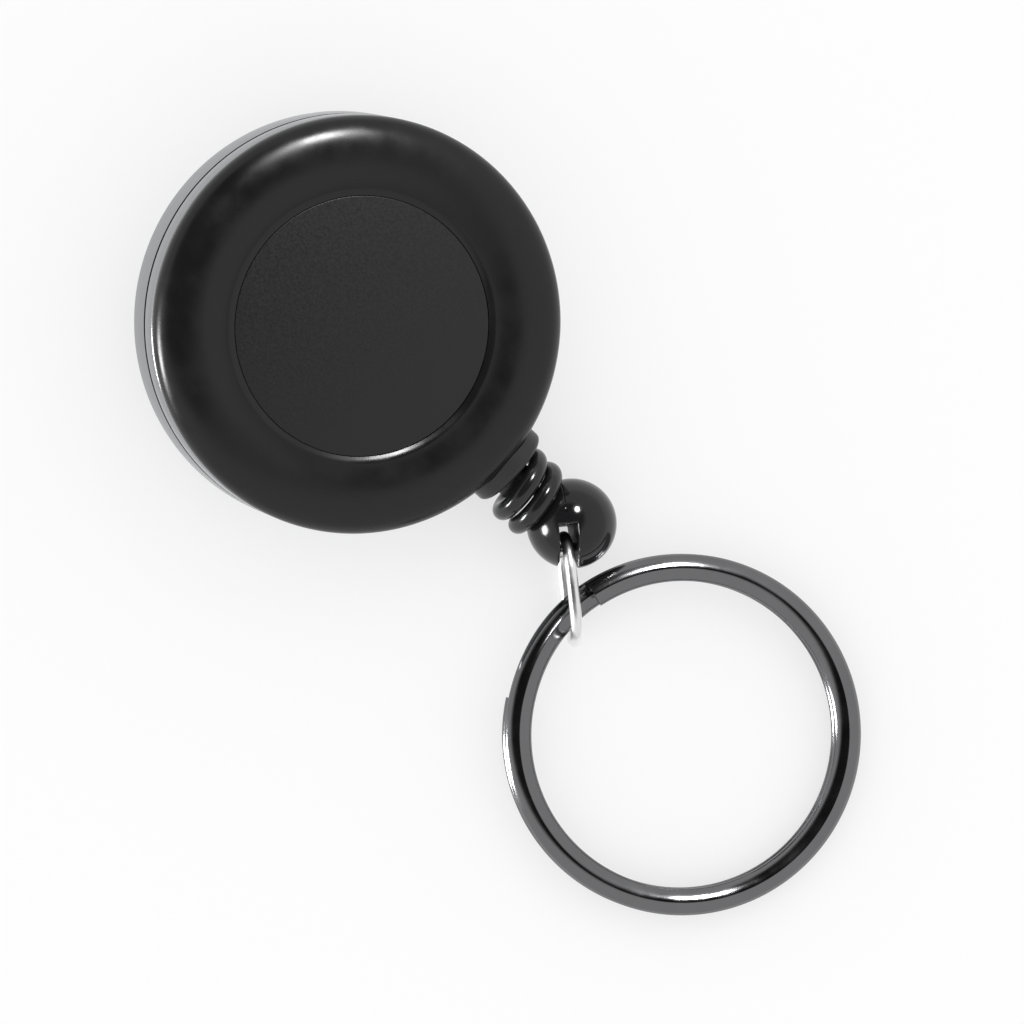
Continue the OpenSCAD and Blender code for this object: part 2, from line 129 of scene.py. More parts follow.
def lathe(name, outline, place, steps=256):
    # the outline is a closed loop of (radius, height); points on the axis become one pole
    bm = bmesh.new()
    columns = []
    turns = [2 * math.pi * i / steps for i in range(steps)]
    for r, z in outline:
        if r < 1e-7:
            columns.append([bm.verts.new((0, 0, z))])
        else:
            columns.append([bm.verts.new((r * math.cos(t), r * math.sin(t), z)) for t in turns])
    pairs = list(zip(columns, columns[1:] + columns[:1]))
    for low, high in pairs:
        if len(low) == 1 and len(high) == 1:
            continue
        for i in range(steps):
            j = (i + 1) % steps
            corners = [low[i % len(low)], low[j % len(low)], high[j % len(high)], high[i % len(high)]]
            bm.faces.new(list(dict.fromkeys(corners)))
    bmesh.ops.recalc_face_normals(bm, faces=bm.faces)
    mesh = bpy.data.meshes.new(name)
    bm.to_mesh(mesh)
    bm.free()
    mesh.transform(place)
    return smooth(mesh)


def prism(name, outline, low, high):
    # a closed outline in X and Z, drawn out along Y
    bm = bmesh.new()
    rows = [[bm.verts.new((x, y, z)) for x, z in outline] for y in (low, high)]
    bm.faces.new(rows[0])
    bm.faces.new(list(reversed(rows[1])))
    for i in range(len(outline)):
        j = (i + 1) % len(outline)
        bm.faces.new((rows[0][i], rows[0][j], rows[1][j], rows[1][i]))
    bmesh.ops.recalc_face_normals(bm, faces=bm.faces)
    mesh = bpy.data.meshes.new(name)
    bm.to_mesh(mesh)
    bm.free()
    return mesh


def carved(mesh, cutters, bevel=0.0, angle=40):
    # joins solids to a mesh or cuts them out of it, rounds its edges and returns a plain mesh
    body = bpy.data.objects.new("carving", mesh)
    bpy.context.scene.collection.objects.link(body)
    tools = []
    for how, cutter in cutters:
        tool = bpy.data.objects.new("cutter", cutter)
        bpy.context.scene.collection.objects.link(tool)
        cut = body.modifiers.new("cut", "BOOLEAN")
        cut.operation = how
        cut.solver = "EXACT"
        cut.object = tool
        tools.append(tool)
    if bevel:
        soft = body.modifiers.new("soft", "BEVEL")
        soft.width = bevel
        soft.segments = 3
        soft.limit_method = "ANGLE"
        soft.angle_limit = math.radians(angle)
    bpy.context.view_layer.update()
    done = bpy.data.meshes.new_from_object(body.evaluated_get(bpy.context.evaluated_depsgraph_get()))
    for thing in [body] + tools:
        bpy.data.objects.remove(thing)
    return smooth(done, 32)


# node trees

class Tree:
    def __init__(self, name, sizes):
        self.group = bpy.data.node_groups.new(name, "GeometryNodeTree")
        self.links = self.group.links
        face = self.group.interface
        face.new_socket("Geometry", in_out="OUTPUT", socket_type="NodeSocketGeometry")
        self.ids = {}
        for title in (*sizes, "Finish"):
            kind = "NodeSocketMaterial" if title == "Finish" else "NodeSocketFloat"
            self.ids[title] = face.new_socket(title, in_out="INPUT", socket_type=kind).identifier
        self.entry = self.group.nodes.new("NodeGroupInput")

    def add(self, kind, values=(), **settings):
        made = self.group.nodes.new(kind)
        for key, value in settings.items():
            setattr(made, key, value)
        self.feed(made, values)
        return made

    def feed(self, node, values):
        pairs = values.items() if isinstance(values, dict) else enumerate(values)
        for key, value in pairs:
            if isinstance(value, bpy.types.NodeSocket):
                self.links.new(value, node.inputs[key])
            else:
                node.inputs[key].default_value = value

    def math(self, operation, *values):
        return self.add("ShaderNodeMath", values, operation=operation).outputs[0]

    def size(self, title):
        return self.entry.outputs[title]

    def finish(self, geometry):
        whole = self.add("GeometryNodeRealizeInstances", [geometry]).outputs[0]
        coated = self.add("GeometryNodeSetMaterial", {"Geometry": whole, "Material": self.size("Finish")})
        end = self.group.nodes.new("NodeGroupOutput")
        self.links.new(coated.outputs[0], end.inputs[0])
        return self


def grown(name, tree, values, place, angle=60):
    # runs a tree on an empty mesh and keeps the result as a plain mesh
    seed = bpy.data.objects.new(name, bpy.data.meshes.new(name))
    bpy.context.scene.collection.objects.link(seed)
    nodes = seed.modifiers.new("nodes", "NODES")
    nodes.node_group = tree.group
    for title, value in values.items():
        nodes[tree.ids[title]] = value
    bpy.context.view_layer.update()
    mesh = bpy.data.meshes.new_from_object(seed.evaluated_get(bpy.context.evaluated_depsgraph_get()))
    seed.modifiers.remove(nodes)
    bpy.data.objects.remove(seed)
    mesh.name = name
    mesh.transform(place)
    bm = bmesh.new()
    bm.from_mesh(mesh)
    bmesh.ops.remove_doubles(bm, verts=bm.verts, dist=1e-7)
    bmesh.ops.recalc_face_normals(bm, faces=bm.faces)
    bm.to_mesh(mesh)
    bm.free()
    return smooth(mesh, angle)


def coilTree():
    # a round wire that climbs in even turns
    t = Tree("coiledWire", ("Turns", "Radius", "Pitch", "Wire", "Start"))
    line = t.add("GeometryNodeCurvePrimitiveLine", {"End": (0, 0, 1)}).outputs[0]
    path = t.add("GeometryNodeResampleCurve", {"Curve": line, "Count": 200}).outputs[0]
    along = t.add("GeometryNodeSplineParameter").outputs["Factor"]
    turns = t.math("MULTIPLY", along, t.size("Turns"))
    angle = t.math("ADD", t.math("MULTIPLY", turns, 2 * math.pi), t.size("Start"))
    where = t.add("ShaderNodeCombineXYZ", [
        t.math("MULTIPLY", t.size("Radius"), t.math("COSINE", angle)),
        t.math("MULTIPLY", t.size("Radius"), t.math("SINE", angle)),
        t.math("MULTIPLY", t.size("Pitch"), turns)]).outputs[0]
    bent = t.add("GeometryNodeSetPosition", {"Geometry": path, "Position": where}).outputs[0]
    wire = t.add("GeometryNodeCurvePrimitiveCircle",
                 {"Resolution": 28, "Radius": t.math("MULTIPLY", t.size("Wire"), 0.5)}).outputs[0]
    tube = t.add("GeometryNodeCurveToMesh", {"Curve": bent, "Profile Curve": wire, "Fill Caps": True})
    return t.finish(tube.outputs[0])


def splitRingTree():
    # one wire in two turns, which drops from the upper strand to the lower one at the joggle
    t = Tree("splitRing", (
        "Radius", "Strand width", "Strand height", "Pitch", "Joggle", "Start", "Roundness"))
    line = t.add("GeometryNodeCurvePrimitiveLine", {"End": (0, 0, 1)}).outputs[0]
    path = t.add("GeometryNodeResampleCurve", {"Curve": line, "Count": 720}).outputs[0]
    along = t.add("GeometryNodeSplineParameter").outputs["Factor"]
    whole = t.math("SUBTRACT", 4 * math.pi, t.size("Joggle"))
    gone = t.math("MULTIPLY", along, whole)
    angle = t.math("SUBTRACT", t.size("Start"), gone)
    firstTurn = t.math("SUBTRACT", 2 * math.pi, t.size("Joggle"))
    drop = t.add("ShaderNodeMapRange", {
        "Value": gone, "From Min": firstTurn, "From Max": 2 * math.pi,
        "To Min": t.size("Pitch"), "To Max": 0.0}, interpolation_type="SMOOTHSTEP").outputs[0]
    height = t.math("ADD", drop, t.math("MULTIPLY", t.size("Strand height"), 0.5))
    where = t.add("ShaderNodeCombineXYZ", [
        t.math("MULTIPLY", t.size("Radius"), t.math("COSINE", angle)),
        t.math("MULTIPLY", t.size("Radius"), t.math("SINE", angle)), height]).outputs[0]
    bent = t.add("GeometryNodeSetPosition", {"Geometry": path, "Position": where}).outputs[0]
    level = t.add("GeometryNodeSetCurveNormal", {"Curve": bent}, mode="Z_UP").outputs[0]
    circle = t.add("GeometryNodeCurvePrimitiveCircle", {"Resolution": 48, "Radius": 1.0}).outputs[0]
    spot = t.add("ShaderNodeSeparateXYZ", [t.add("GeometryNodeInputPosition").outputs[0]])

    def swell(value, half):
        # a rounded lozenge: wide flanks that meet in a soft ridge
        power = t.math("POWER", t.math("ABSOLUTE", value), t.size("Roundness"))
        return t.math("MULTIPLY", t.math("MULTIPLY", power, t.math("SIGN", value)), half)

    halfWidth = t.math("MULTIPLY", t.size("Strand width"), 0.5)
    halfHeight = t.math("MULTIPLY", t.size("Strand height"), 0.5)
    section = t.add("ShaderNodeCombineXYZ", [
        swell(spot.outputs[0], halfWidth), swell(spot.outputs[1], halfHeight), 0.0]).outputs[0]
    wire = t.add("GeometryNodeSetPosition", {"Geometry": circle, "Position": section}).outputs[0]
    strand = t.add("GeometryNodeCurveToMesh", {"Curve": level, "Profile Curve": wire, "Fill Caps": True})
    return t.finish(strand.outputs[0])


def ovalLinkTree():
    # a round wire bent to an oval with straight sides and full round ends
    t = Tree("ovalLink", ("Length", "Height", "Wire"))
    tall = t.math("SUBTRACT", t.size("Height"), t.size("Wire"))
    frameCurve = t.add("GeometryNodeCurvePrimitiveQuadrilateral", {
        "Width": t.math("SUBTRACT", t.size("Length"), t.size("Wire")), "Height": tall}).outputs[0]
    bow = t.math("MULTIPLY", tall, 0.4999)            # just under half, so no edge is left with no length
    oval = t.add("GeometryNodeFilletCurve", {
        "Curve": frameCurve, "Count": 40, "Radius": bow}, mode="POLY").outputs[0]
    wire = t.add("GeometryNodeCurvePrimitiveCircle",
                 {"Resolution": 32, "Radius": t.math("MULTIPLY", t.size("Wire"), 0.5)}).outputs[0]
    tube = t.add("GeometryNodeCurveToMesh", {"Curve": oval, "Profile Curve": wire}).outputs[0]
    return t.finish(tube)


# finishes

surface = {"relief": 0.02 * mm, "brushStretch": 14, "polished": 0.82, "dulled": 1.18, "patchLow": 0.35,
           "patchHigh": 0.65}


def finish(name, colour, roughness, metallic=0.0, mottle=0.0, mottleScale=400.0, bump=0.0,
           bumpScale=2500.0, scuff=0.0, brushed=False, **extra):
    # one shader for hard surfaces: slow colour drift, uneven polish, fine relief and short scuffs
    material = bpy.data.materials.new(name)
    material.use_nodes = True
    nodes = material.node_tree.nodes
    links = material.node_tree.links
    skin = nodes["Principled BSDF"]
    skin.inputs["Metallic"].default_value = metallic
    for key, value in extra.items():
        skin.inputs[key.replace("_", " ")].default_value = value
    where = nodes.new("ShaderNodeTexCoord").outputs["Object"]
    stretch = nodes.new("ShaderNodeMapping")
    stretch.inputs["Scale"].default_value = (1, 1, surface["brushStretch"] if brushed else 1)
    links.new(where, stretch.inputs[0])
    drift = nodes.new("ShaderNodeTexNoise")
    drift.inputs["Scale"].default_value = mottleScale
    drift.inputs["Detail"].default_value = 4
    links.new(stretch.outputs[0], drift.inputs["Vector"])
    fine = nodes.new("ShaderNodeTexNoise")
    fine.inputs["Scale"].default_value = bumpScale
    fine.inputs["Detail"].default_value = 3
    links.new(stretch.outputs[0], fine.inputs["Vector"])
    tint = nodes.new("ShaderNodeMix")
    tint.data_type = "RGBA"
    tint.inputs["A"].default_value = (*[c * (1 - mottle) for c in colour], 1)
    tint.inputs["B"].default_value = (*[min(1.0, c * (1 + mottle)) for c in colour], 1)
    links.new(drift.outputs["Fac"], tint.inputs["Factor"])
    links.new(tint.outputs["Result"], skin.inputs["Base Color"])
    polish = nodes.new("ShaderNodeMapRange")
    polish.inputs["To Min"].default_value = roughness * surface["polished"]
    polish.inputs["To Max"].default_value = roughness * surface["dulled"] + scuff
    polish.inputs["From Min"].default_value = surface["patchLow"]
    polish.inputs["From Max"].default_value = surface["patchHigh"]
    links.new(drift.outputs["Fac"], polish.inputs["Value"])
    links.new(polish.outputs[0], skin.inputs["Roughness"])
    if bump:
        relief = nodes.new("ShaderNodeBump")
        relief.inputs["Strength"].default_value = bump
        relief.inputs["Distance"].default_value = surface["relief"]
        links.new(fine.outputs["Fac"], relief.inputs["Height"])
        links.new(relief.outputs[0], skin.inputs["Normal"])
    return material


print("finishes")
glossBlack = finish("glossBlack", (0.008, 0.008, 0.0085), 0.24, mottle=0.1, bump=0.03, bumpScale=900,
                    scuff=0.02, Specular_IOR_Level=0.36)
labelGrey = finish("labelGrey", (0.0105, 0.0105, 0.0115), 0.42, mottle=0.02, mottleScale=5000,
                   bump=0.06, bumpScale=12000, Specular_IOR_Level=0.36)
chrome = finish("chrome", (0.38, 0.388, 0.396), 0.13, metallic=1.0, mottle=0.05, bump=0.05,
                bumpScale=700, scuff=0.04, Specular_Tint=(0.72, 0.72, 0.73, 1))
linkChrome = finish("linkChrome", (0.9, 0.9, 0.9), 0.3, metallic=1.0, mottle=0.03, bump=0.05,
                    bumpScale=900, scuff=0.05)
# painted shade: a near-black, matt, weakly reflecting finish for the chrome faces deep in the seam
seamPaintedShade = finish("seamPaintedShade", (0.008, 0.008, 0.009), 0.6, mottle=0.2, Specular_IOR_Level=0.1)
nickel = finish("nickel", (0.78, 0.77, 0.74), 0.16, metallic=1.0, mottle=0.05, bump=0.12,
                bumpScale=2200, scuff=0.05)
gunmetal = finish("gunmetal", (0.19, 0.19, 0.195), 0.11, metallic=1.0, mottle=0.06, bump=0.1,
                  bumpScale=1800, scuff=0.04)
brass = finish("brass", (0.62, 0.46, 0.2), 0.25, metallic=1.0, mottle=0.08, bump=0.1, brushed=True)
springSteel = finish("springSteel", (0.36, 0.38, 0.41), 0.3, metallic=1.0, mottle=0.12, bump=0.15,
                     brushed=True)
whiteNylon = finish("whiteNylon", (0.76, 0.74, 0.68), 0.42, mottle=0.04, bump=0.2)
blackWire = finish("blackWire", (0.011, 0.011, 0.012), 0.14, mottle=0.15, bump=0.12, bumpScale=1400,
                   scuff=0.03)
ballBlack = finish("ballBlack", (0.011, 0.011, 0.012), 0.11, mottle=0.15, bump=0.04, bumpScale=900,
                   scuff=0.02, Specular_IOR_Level=0.38)
# painted shade: darker, matt and weakly reflecting walls inside the ball's slot and throat
slotPaintedShade = finish("slotPaintedShade", (0.005, 0.005, 0.0055), 0.5, mottle=0.2, Specular_IOR_Level=0.12)
collarBlack = finish("collarBlack", (0.014, 0.014, 0.015), 0.3, mottle=0.15, bump=0.15, bumpScale=3000,
                     scuff=0.05)
braid = {"slant": 45, "ribs": 1500, "waver": 0.6, "strength": 0.6, "depth": 0.05 * mm, "fuzz": 0.3}


def cordFinish():
    # braided nylon: two sets of slanting ribs that cross
    material = finish("blackCord", (0.016, 0.016, 0.017), 0.6, mottle=0.3, mottleScale=3000)
    nodes = material.node_tree.nodes
    links = material.node_tree.links
    skin = nodes["Principled BSDF"]
    skin.inputs["Sheen Weight"].default_value = braid["fuzz"]
    where = nodes.new("ShaderNodeTexCoord").outputs["Object"]
    total = None
    for slant in (braid["slant"], -braid["slant"]):
        turned = nodes.new("ShaderNodeMapping")
        turned.inputs["Rotation"].default_value = (0, 0, math.radians(slant))
        ribs = nodes.new("ShaderNodeTexWave")
        ribs.inputs["Scale"].default_value = braid["ribs"]
        ribs.inputs["Distortion"].default_value = braid["waver"]
        links.new(where, turned.inputs[0])
        links.new(turned.outputs[0], ribs.inputs["Vector"])
        if total is None:
            total = ribs.outputs["Fac"]
        else:
            both = nodes.new("ShaderNodeMath")
            both.operation = "MULTIPLY"
            links.new(total, both.inputs[0])
            links.new(ribs.outputs["Fac"], both.inputs[1])
            total = both.outputs[0]
    relief = nodes.new("ShaderNodeBump")
    relief.inputs["Strength"].default_value = braid["strength"]
    relief.inputs["Distance"].default_value = braid["depth"]
    links.new(total, relief.inputs["Height"])
    links.new(relief.outputs[0], skin.inputs["Normal"])
    return material


blackCord = cordFinish()


# case

rear = {"height": 4.4 * mm, "floor": 0.7 * mm, "edge": 1.0 * mm, "rivetHole": 1.25 * mm}
bezel = {
    "seam": 0.35 * mm, "height": 2.35 * mm, "round": 0.12 * mm, "spigotThick": 0.5 * mm,
    "spigotHeight": 1.1 * mm,
    "ledge": 0.7 * mm,           # depth of the ledge inside, which takes the rim of the cover
}
cover = {
    "domeHeight": 2.1 * mm, "domeFullness": 2.12, "crestRadius": 12.7 * mm,
    "foot": 0.3 * mm, "footRound": 0.15 * mm,                    # upright part of the dome over the bezel
    "lipDrop": 0.15 * mm,        # the inner edge of the dome lies this far under its crest
    "recessRadius": 10 * mm, "recessPlay": 0.02 * mm, "recessDepth": 0.5 * mm,
    "stepWidth": 0.55 * mm, "stepDrop": 0.03 * mm,
    "thick": 0.85 * mm, "rimDepth": 0.6 * mm, "rimThick": 0.5 * mm, "rimPlay": 0.1 * mm,
}
label = {"thick": 0.3 * mm, "groove": 0.06 * mm, "lift": 0.01 * mm, "round": 0.08 * mm}
seamZ = rear["height"] + bezel["seam"]           # heights over the back of the case
bezelTop = seamZ + bezel["height"]
footZ = bezelTop + cover["foot"]
crestZ = bezelTop + cover["domeHeight"]
lipZ = crestZ - cover["lipDrop"]
recessZ = lipZ - cover["recessDepth"]
coverUnder = recessZ - cover["thick"]


def frontCover():
    r = reel["caseRadius"]
    crest = cover["crestRadius"]
    wallAt = cover["recessRadius"] - cover["recessPlay"]
    wallTop = recessZ + label["thick"]
    stepEnd = wallAt + cover["stepWidth"]
    stepTop = lipZ - cover["stepDrop"]
    bend = 2 / cover["domeFullness"]
    outline = [(0, recessZ), (wallAt, recessZ)]
    for i in range(15):                           # above the label the wall of the recess is a soft step
        t = i / 14
        outline.append((wallAt + (stepEnd - wallAt) * t,
                        wallTop + (stepTop - wallTop) * math.sin(t * math.pi / 2)))
    for i in range(1, 25):                        # then the ring rises gently to its crest
        t = i / 24
        rise = (1 - math.cos(t * math.pi)) / 2
        outline.append((stepEnd + (crest - stepEnd) * t, stepTop + (crestZ - stepTop) * rise))
    for i in range(1, 61):                        # and falls in a full curve to the bezel
        t = i / 60 * math.pi / 2
        outline.append((crest + (r - crest) * math.sin(t) ** bend,
                        footZ + (crestZ - footZ) * math.cos(t) ** bend))
    soft = cover["footRound"]
    outline += arc((r - soft, bezelTop + fit + soft), soft, soft, 0, -90, 4)
    rim = r - reel["wall"] - cover["rimPlay"]
    rimInner = rim - cover["rimThick"]
    rimLow = bezelTop - cover["rimDepth"]
    outline += [(rim, bezelTop + fit), (rim, rimLow), (rimInner, rimLow), (rimInner, coverUnder),
                (0, coverUnder)]
    return lathe("frontCover", outline, inReel)


def domeRadius(z):
    # how far out the case reaches at a height over its back
    if z <= footZ:
        return reel["caseRadius"]
    drop = min(1.0, (z - footZ) / (crestZ - footZ))
    out = (1 - drop ** cover["domeFullness"]) ** (1 / cover["domeFullness"])
    return cover["crestRadius"] + (reel["caseRadius"] - cover["crestRadius"]) * out


def labelDisc():
    r = cover["recessRadius"] - label["groove"]
    low = recessZ + label["lift"]
    top = recessZ + label["thick"]
    soft = label["round"]
    outline = [(0, low), (r, low)]
    outline += arc((r - soft, top - soft), soft, soft, 0, 90, 4)
    outline += [(0, top)]
    return lathe("labelDisc", outline, inReel)


def frontBezel():
    r = reel["caseRadius"]
    inner = r - reel["wall"]
    soft = reel["seamRound"]
    shoulder = bezel["round"]
    outline = arc((r - soft, seamZ + soft), soft, soft, -90, 0, 6)
    outline += arc((r - shoulder, bezelTop - shoulder), shoulder, shoulder, 0, 90, 4)
    ledge = bezelTop - bezel["ledge"]
    spigot = inner - bezel["spigotThick"]
    spigotLow = rear["height"] - bezel["spigotHeight"]
    outline += [(inner, bezelTop), (inner, ledge), (spigot, ledge), (spigot, spigotLow),
                (inner - fit, spigotLow), (inner - fit, seamZ)]
    return lathe("frontBezel", outline, inReel)


def rearCase():
    r = reel["caseRadius"]
    edge = rear["edge"]
    wall = reel["wall"]
    inside = rear["floor"]
    top = rear["height"]
    outline = [(0, 0)]
    outline += arc((r - edge, edge), edge, edge, -90, 0, 16)
    soft = reel["seamRound"]
    outline += arc((r - soft, top - soft), soft, soft, 0, 90, 6)
    outline += [(r - wall, top), (r - wall, edge)]
    outline += arc((r - edge, edge), edge - wall, edge - inside, 0, -90, 6)[1:]
    outline += [(0, inside)]
    return lathe("rearCase", outline, inReel)


def exitHole():
    # the barrel of the collar goes through the side of the case here
    r = reel["exitHole"]
    low = reel["caseRadius"] - 3 * past
    high = reel["caseRadius"] + past
    return lathe("exitHole", [(0, low), (r, low), (r, high), (0, high)], onExit, 64)


def rivetHole():
    r = rear["rivetHole"]
    return lathe("rivetHole", [(0, -past), (r, -past), (r, 2 * past), (0, 2 * past)], inReel, 64)


def paintSeamShade(mesh, inSeam):
    # chrome outside, and painted shade: black on the faces that show only through the seam
    mesh.materials.clear()
    mesh.materials.append(chrome)
    mesh.materials.append(seamPaintedShade)
    toReel = inReel.inverted()
    for polygon in mesh.polygons:
        if inSeam((toReel @ polygon.center).z):
            polygon.material_index = 1
    return mesh


print("case")
coverMesh = carved(frontCover(), [("DIFFERENCE", exitHole())])
newObject("frontCover", coverMesh, glossBlack, "case", "front_cover")
newObject("labelDisc", labelDisc(), labelGrey, "case", "label_disc")
bezelFoot = seamZ + reel["seamRound"]
# the chrome faces seen through the seam get painted shade
bezelMesh = paintSeamShade(carved(frontBezel(), [("DIFFERENCE", exitHole())]), lambda z: z < bezelFoot)
newObject("frontBezel", bezelMesh, chrome, "case", "front_bezel")
rearEdge = rear["height"] - reel["seamRound"]
rearMesh = carved(rearCase(), [("DIFFERENCE", exitHole()), ("DIFFERENCE", rivetHole())])
newObject("rearCase", paintSeamShade(rearMesh, lambda z: z > rearEdge), chrome, "case", "rear_case")

# cord exit

collar = {
    "radius": 3.3 * mm, "stand": 1.15 * mm, "round": 0.45 * mm, "fill": 0.45 * mm, "squash": 0.8,
    "barrel": 1.3 * mm, "barrelLength": 1.7 * mm, "bore": 0.6 * mm,
    "stub": 1.5 * mm, "stubLength": 1.5 * mm, "stubRoot": 0.3 * mm,
}
bendSpring = {
    "wire": 1.5 * mm, "radius": 2.35 * mm, "pitch": 1.62 * mm, "turns": 1.5, "start": -math.pi / 2,
    "shift": 0.5 * mm,
}
collarFace = reel["caseRadius"] + collar["stand"]


def exitCollar():
    # the back of the flange follows the round case and its dome, and a stub stands inside the coil
    r = collar["radius"]
    barrel = collar["barrel"]
    soft = collar["round"]
    barrelEnd = collarFace - collar["barrelLength"]
    outline = [(0, barrelEnd), (barrel, barrelEnd)]
    outline += [(barrel + (r - barrel) * i / 24, 0.0) for i in range(25)]
    outline += arc((r - soft, collarFace - soft), soft, soft, 0, 90, 14)
    outline += [(0, collarFace)]
    mesh = lathe("exitCollar", outline, Matrix.Identity(4), 192)
    for v in mesh.vertices:
        share = (math.hypot(v.co.x, v.co.y) - barrel) / (r - barrel)
        if v.co.x > 0 and share > 0:              # the front edge is kept low, to lie against the dome
            v.co.x *= 1 - (1 - collar["squash"]) * min(1, share)
        if v.co.z < past:                         # the back was drawn flat at zero
            under = max(domeRadius(reel["exitHeight"] + v.co.x), reel["caseRadius"] - collar["fill"])
            v.co.z = math.sqrt((under + fit) ** 2 - v.co.y ** 2)
    stub = collar["stub"]
    stubRoot = collarFace - collar["stubRoot"]
    stubEnd = collarFace + collar["stubLength"]
    stubOutline = [(0, stubRoot), (stub, stubRoot)]
    stubOutline += arc((stub - soft, stubEnd - soft), soft, soft, 0, 90, 8)
    stubOutline += [(0, stubEnd)]
    stubShape = lathe("stub", stubOutline, Matrix.Translation((0, bendSpring["shift"], 0)), 96)
    bore = collar["bore"]
    low = collarFace - 2 * past
    high = collarFace + 3 * past
    boreShape = lathe("bore", [(0, low), (bore, low), (bore, high), (0, high)], Matrix.Identity(4), 64)
    whole = carved(mesh, [("UNION", stubShape), ("DIFFERENCE", boreShape)])
    whole.transform(onExit)
    return smooth(whole, 50)


print("cord exit")
newObject("exitCollar", exitCollar(), collarBlack, "case", "exit_collar")
coilLow = collarFace + bendSpring["wire"] / 2 + fit
coilMesh = grown("bendSpring", coilTree(), {
    "Turns": bendSpring["turns"], "Radius": bendSpring["radius"], "Pitch": bendSpring["pitch"],
    "Wire": bendSpring["wire"], "Start": bendSpring["start"], "Finish": blackWire},
    onExit @ Matrix.Translation((0, bendSpring["shift"], coilLow)))
newObject("bendSpring", coilMesh, blackWire, "case", "bend_spring")

lead = {"radius": 0.4 * mm, "inCase": 0.4 * mm, "shortOfStop": 0.6 * mm, "rings": 240, "sides": 20}


def leadCord():
    # the stretch between the case and the ball, which draws out with the pull
    low = reel["caseRadius"] - lead["inCase"]
    high = (stopAt - exitHub).dot(exitWay) - lead["shortOfStop"]
    turns = [2 * math.pi * k / lead["sides"] for k in range(lead["sides"])]
    section = [(lead["radius"] * math.cos(t), lead["radius"] * math.sin(t)) for t in turns]
    bm = bmesh.new()
    rows = []
    for i in range(lead["rings"] + 1):
        z = low + (high - low) * i / lead["rings"]
        rows.append([bm.verts.new((x, y, z)) for x, y in section])
    for a, b in zip(rows, rows[1:]):
        for k in range(lead["sides"]):
            m = (k + 1) % lead["sides"]
            bm.faces.new((a[k], a[m], b[m], b[k]))
    bm.faces.new(list(reversed(rows[0])))
    bm.faces.new(rows[-1])
    bmesh.ops.recalc_face_normals(bm, faces=bm.faces)
    mesh = bpy.data.meshes.new("leadCord")
    bm.to_mesh(mesh)
    bm.free()
    mesh.transform(onExit)
    piece = newObject("leadCord", smooth(mesh, 50), blackCord, None, "cord_lead")
    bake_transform(piece)


leadCord()

# ball end

pinAt = Vector(joints["link_swing"]["pos_m"])
swingWay = Vector(joints["link_swing"]["axis"]).normalized()     # across the slot, to the small half
linkWay = Vector((-swingWay.y, swingWay.x, 0)).normalized()
ball = {
    "radius": 3.5 * mm, "slot": 1.4 * mm, "slotFront": 0.1 * mm, "slotOffset": 0.65 * mm,
    "edge": 0.2 * mm, "partingEdge": 0.05 * mm, "skin": 0.3 * mm,
    "pocket": 0.72 * mm, "pocketDepth": 2.3 * mm,                # the hollow that holds the cord stop
    "mouth": 2.3 * mm, "throat": 0.64 * mm, "throatDepth": 2.75 * mm,
    "largeHeart": (-1.6, 1.0, 0), "smallHeart": (-1.8, -1.75, 0),
}
pin = {
    "radius": 0.55 * mm, "ahead": 2.03 * mm, "half": 1.5 * mm, "holePlay": 0.01 * mm, "play": 0.005 * mm,
    "round": 0.1 * mm,
}
ballCentre = pinAt - pin["ahead"] * linkWay - ball["slotOffset"] * swingWay
inBall = frameOf(ballCentre, linkWay, (0, 0, 1))
exitInBall = inBall.inverted() @ onExit


def softCut(a, b, r):
    # two shapes as distances, cut with each other and rounded along their common edge
    corner = np.hypot(np.maximum(a + r, 0), np.maximum(b + r, 0))
    return np.minimum(-r, np.maximum(a, b)) + corner


def halfDistance(p, side):
    wall = -ball["slotOffset"] + side * ball["slot"] / 2
    clearOfSlot = np.minimum(p[:, 0] - ball["slotFront"], side * (wall - p[:, 1]))
    parting = side * (-ball["slotOffset"] - p[:, 1])
    cut = softCut(np.linalg.norm(p, axis=1) - ball["radius"], clearOfSlot, ball["edge"])
    return softCut(cut, parting, ball["partingEdge"])


def throatShape():
    # the cord comes in through a wide mouth, and its stop sits in a round pocket
    low = -ball["radius"] - past
    outline = [(0, low), (ball["mouth"], low), (ball["throat"], -ball["throatDepth"])]
    outline += arc((0, -ball["pocketDepth"]), ball["pocket"], ball["pocket"], -22.918, 87.09, 12)
    outline += [(0, -ball["pocketDepth"] + ball["pocket"])]
    atBall = Matrix.Translation((0, 0, (ballCentre - exitHub).length))
    return lathe("throat", outline, exitInBall @ atBall, 64)


def pinHole():
    r = pin["radius"] + pin["holePlay"]
    outline = [(0, -pin["half"]), (r, -pin["half"]), (r, pin["half"]), (0, pin["half"])]
    atPin = Matrix.Translation((pin["ahead"], -ball["slotOffset"], 0))
    return lathe("pinHole", outline, atPin @ Matrix.Rotation(math.pi / 2, 4, "X"), 64)


